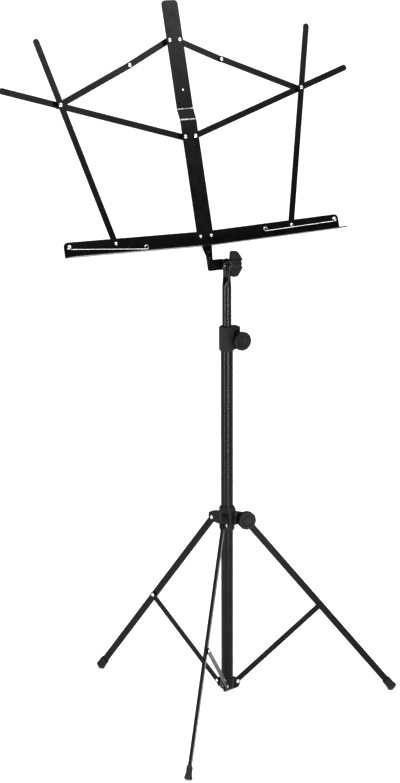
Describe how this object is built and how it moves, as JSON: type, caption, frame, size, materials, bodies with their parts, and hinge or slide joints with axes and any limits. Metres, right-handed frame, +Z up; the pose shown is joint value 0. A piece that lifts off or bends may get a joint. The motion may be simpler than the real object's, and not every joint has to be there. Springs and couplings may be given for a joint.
{
  "type": "folding music stand",
  "caption": "Folding music stand: tripod with braced folding legs, telescopic mast with clamp knob, tilting desk of flat bars that scissors shut, tray with shelf and swinging page wires.",
  "frame": {"origin": "on the floor, under the middle of the open stand's bounding box", "axes": "+Z up the mast; -Y towards the reader, who faces the tray; +X to the reader's right"},
  "size_m": [0.6476, 0.5212, 1.1784],
  "materials": {
    "black_paint": "gloss",
    "mast_paint": "gloss",
    "nickel": "bright",
    "wire_steel": "satin",
    "black_plastic": "satin",
    "zinc": "satin",
    "rubber": "matte"
  },
  "bodies": {
    "base": {"outer_tube": "black_paint", "lower_hub": "black_paint", "clamp_collar": "black_plastic", "hub_rivet_1": "nickel", "hub_rivet_2": "nickel", "hub_rivet_3": "nickel"},
    "clamp_knob": {"clamp_knob": "black_plastic"},
    "leg_collar": {"leg_collar": "black_plastic", "leg_pin_2": "nickel", "leg_pin_3": "nickel"},
    "collar_knob": {"collar_knob": "black_plastic"},
    "leg_1": {"leg_1": "black_paint", "foot_1": "rubber"},
    "brace_1": {"brace_1": "black_paint", "brace_rivet_1": "nickel"},
    "leg_2": {"leg_2": "black_paint", "foot_2": "rubber"},
    "brace_2": {"brace_2": "black_paint", "brace_rivet_2": "nickel"},
    "leg_3": {"leg_3": "black_paint", "foot_3": "rubber"},
    "brace_3": {"brace_3": "black_paint", "brace_rivet_3": "nickel"},
    "guide_bush": {"guide_bush": "black_plastic"},
    "mast": {"inner_tube": "mast_paint", "tilt_bolt": "zinc", "tilt_washer": "zinc"},
    "wing_knob": {"wing_knob": "black_plastic"},
    "desk": {"spine": "black_paint", "tilt_bracket": "black_paint", "bracket_rivet_upper": "black_paint", "bracket_rivet_lower": "black_paint", "tray_rivet_left": "nickel", "tray_rivet_right": "nickel", "diagonal_rivet_left": "nickel", "diagonal_rivet_right": "nickel", "top_rivet_left": "nickel", "top_rivet_right": "nickel"},
    "tray_left": {"tray_left": "black_paint", "upright_rivet_left": "nickel", "wire_rivet_left": "nickel"},
    "upright_left": {"upright_left": "black_paint", "crossing_rivet_left": "nickel"},
    "diagonal_left": {"diagonal_left": "black_paint"},
    "inner_link_left": {"inner_link_left": "black_paint", "elbow_rivet_left": "nickel"},
    "outer_link_left": {"outer_link_left": "black_paint"},
    "page_wire_left": {"page_wire_left": "wire_steel"},
    "tray_right": {"tray_right": "black_paint", "upright_rivet_right": "nickel", "wire_rivet_right": "nickel"},
    "upright_right": {"upright_right": "black_paint", "crossing_rivet_right": "nickel"},
    "diagonal_right": {"diagonal_right": "black_paint"},
    "inner_link_right": {"inner_link_right": "black_paint", "elbow_rivet_right": "nickel"},
    "outer_link_right": {"outer_link_right": "black_paint"},
    "page_wire_right": {"page_wire_right": "wire_steel"}
  },
  "joints": [
    {"name": "collar_slide", "type": "slide", "parent": "base", "child": "leg_collar", "axis": [0, 0, 1], "range_m": [0, 0.11961]},
    {"name": "leg_fold_1", "type": "hinge", "parent": "leg_collar", "child": "leg_1", "pos_m": [0.05327, -0.03897, 0.336], "axis": [0.2164, 0.9763, 0], "range_deg": [0, 37.25]},
    {"name": "brace_fold_1", "type": "hinge", "parent": "base", "child": "brace_1", "pos_m": [0.04204, -0.03648, 0.0501], "axis": [-0.2164, -0.9763, 0], "range_deg": [0, 45.9]},
    {"name": "leg_fold_2", "type": "hinge", "parent": "leg_collar", "child": "leg_2", "pos_m": [0.01496, -0.00387, 0.336], "axis": [-0.9537, -0.3007, 0], "range_deg": [0, 37.25]},
    {"name": "brace_fold_2", "type": "hinge", "parent": "base", "child": "brace_2", "pos_m": [0.01842, -0.01484, 0.0501], "axis": [0.9537, 0.3007, 0], "range_deg": [0, 45.9]},
    {"name": "leg_fold_3", "type": "hinge", "parent": "leg_collar", "child": "leg_3", "pos_m": [0.00371, -0.0546, 0.336], "axis": [0.7373, -0.6756, 0], "range_deg": [0, 37.25]},
    {"name": "brace_fold_3", "type": "hinge", "parent": "base", "child": "brace_3", "pos_m": [0.01148, -0.04612, 0.0501], "axis": [-0.7373, 0.6756, 0], "range_deg": [0, 45.9]},
    {"name": "clamp_knob_turn", "type": "hinge", "parent": "base", "child": "clamp_knob", "pos_m": [0.04258, -0.03248, 0.6405], "axis": [0, -1, 0], "continuous": true},
    {"name": "collar_knob_turn", "type": "hinge", "parent": "leg_collar", "child": "collar_knob", "pos_m": [0.05327, -0.03897, 0.336], "axis": [-0.2164, -0.9763, 0], "continuous": true},
    {"name": "wing_knob_turn", "type": "hinge", "parent": "mast", "child": "wing_knob", "pos_m": [0.02398, -0.03248, 0.7655], "axis": [1, 0, 0], "continuous": true},
    {"name": "height_slide", "type": "slide", "parent": "base", "child": "guide_bush", "axis": [0, 0, 1], "range_m": [-0.06, 0.3]},
    {"name": "desk_swivel", "type": "hinge", "parent": "guide_bush", "child": "mast", "pos_m": [0.02398, -0.03248, 0.6], "axis": [0, 0, 1], "continuous": true},
    {"name": "desk_tilt", "type": "hinge", "parent": "mast", "child": "desk", "pos_m": [0.02398, -0.03248, 0.7655], "axis": [-1, 0, 0], "range_deg": [-27.5, 72.5]},
    {"name": "tray_fold_left", "type": "hinge", "parent": "desk", "child": "tray_left", "pos_m": [-0.01302, -0.01123, 0.81083], "axis": [0, 0.9588, -0.284], "range_deg": [0, 80]},
    {"name": "upright_fold_left", "type": "hinge", "parent": "tray_left", "child": "upright_left", "pos_m": [-0.16619, -0.01032, 0.81391], "axis": [0, 0.9588, -0.284], "range_deg": [-65.56, 0]},
    {"name": "diagonal_fold_left", "type": "hinge", "parent": "desk", "child": "diagonal_left", "pos_m": [-0.01252, 0.03498, 0.96683], "axis": [0, 0.9588, -0.284], "range_deg": [0, 66.52]},
    {"name": "inner_link_fold_left", "type": "hinge", "parent": "desk", "child": "inner_link_left", "pos_m": [-0.01252, 0.07974, 1.11794], "axis": [0, 0.9588, -0.284], "range_deg": [-63.56, 0]},
    {"name": "outer_link_fold_left", "type": "hinge", "parent": "inner_link_left", "child": "outer_link_left", "pos_m": [-0.08808, 0.06978, 1.08431], "axis": [0, 0.9588, -0.284], "range_deg": [0, 167.36]},
    {"name": "page_wire_turn_left", "type": "hinge", "parent": "tray_left", "child": "page_wire_left", "pos_m": [-0.24857, -0.00983, 0.81556], "axis": [0, 0.9588, -0.284], "range_deg": [-95, 0]},
    {"name": "tray_fold_right", "type": "hinge", "parent": "desk", "child": "tray_right", "pos_m": [0.00658, -0.01123, 0.81083], "axis": [0, -0.9588, 0.284], "range_deg": [0, 80]},
    {"name": "upright_fold_right", "type": "hinge", "parent": "tray_right", "child": "upright_right", "pos_m": [0.15975, -0.01032, 0.81391], "axis": [0, -0.9588, 0.284], "range_deg": [-65.56, 0]},
    {"name": "diagonal_fold_right", "type": "hinge", "parent": "desk", "child": "diagonal_right", "pos_m": [0.00608, 0.03498, 0.96683], "axis": [0, -0.9588, 0.284], "range_deg": [0, 66.52]},
    {"name": "inner_link_fold_right", "type": "hinge", "parent": "desk", "child": "inner_link_right", "pos_m": [0.00608, 0.07974, 1.11794], "axis": [0, -0.9588, 0.284], "range_deg": [-63.56, 0]},
    {"name": "outer_link_fold_right", "type": "hinge", "parent": "inner_link_right", "child": "outer_link_right", "pos_m": [0.08164, 0.06978, 1.08431], "axis": [0, -0.9588, 0.284], "range_deg": [0, 167.36]},
    {"name": "page_wire_turn_right", "type": "hinge", "parent": "tray_right", "child": "page_wire_right", "pos_m": [0.24213, -0.00983, 0.81556], "axis": [0, -0.9588, 0.284], "range_deg": [-95, 3]}
  ],
  "couplings": [
    {"joint": "leg_fold_1", "follows": "collar_slide", "rad_per_m": 5.4273},
    {"joint": "brace_fold_1", "follows": "collar_slide", "rad_per_m": 6.6893},
    {"joint": "leg_fold_2", "follows": "collar_slide", "rad_per_m": 5.4273},
    {"joint": "brace_fold_2", "follows": "collar_slide", "rad_per_m": 6.6893},
    {"joint": "leg_fold_3", "follows": "collar_slide", "rad_per_m": 5.4273},
    {"joint": "brace_fold_3", "follows": "collar_slide", "rad_per_m": 6.6893},
    {"joint": "upright_fold_left", "follows": "tray_fold_left", "ratio": -0.81891},
    {"joint": "diagonal_fold_left", "follows": "tray_fold_left", "ratio": 0.83085},
    {"joint": "inner_link_fold_left", "follows": "tray_fold_left", "ratio": -0.79385},
    {"joint": "outer_link_fold_left", "follows": "tray_fold_left", "ratio": 2.0914},
    {"joint": "upright_fold_right", "follows": "tray_fold_right", "ratio": -0.81891},
    {"joint": "diagonal_fold_right", "follows": "tray_fold_right", "ratio": 0.83085},
    {"joint": "inner_link_fold_right", "follows": "tray_fold_right", "ratio": -0.79385},
    {"joint": "outer_link_fold_right", "follows": "tray_fold_right", "ratio": 2.0914}
  ]
}
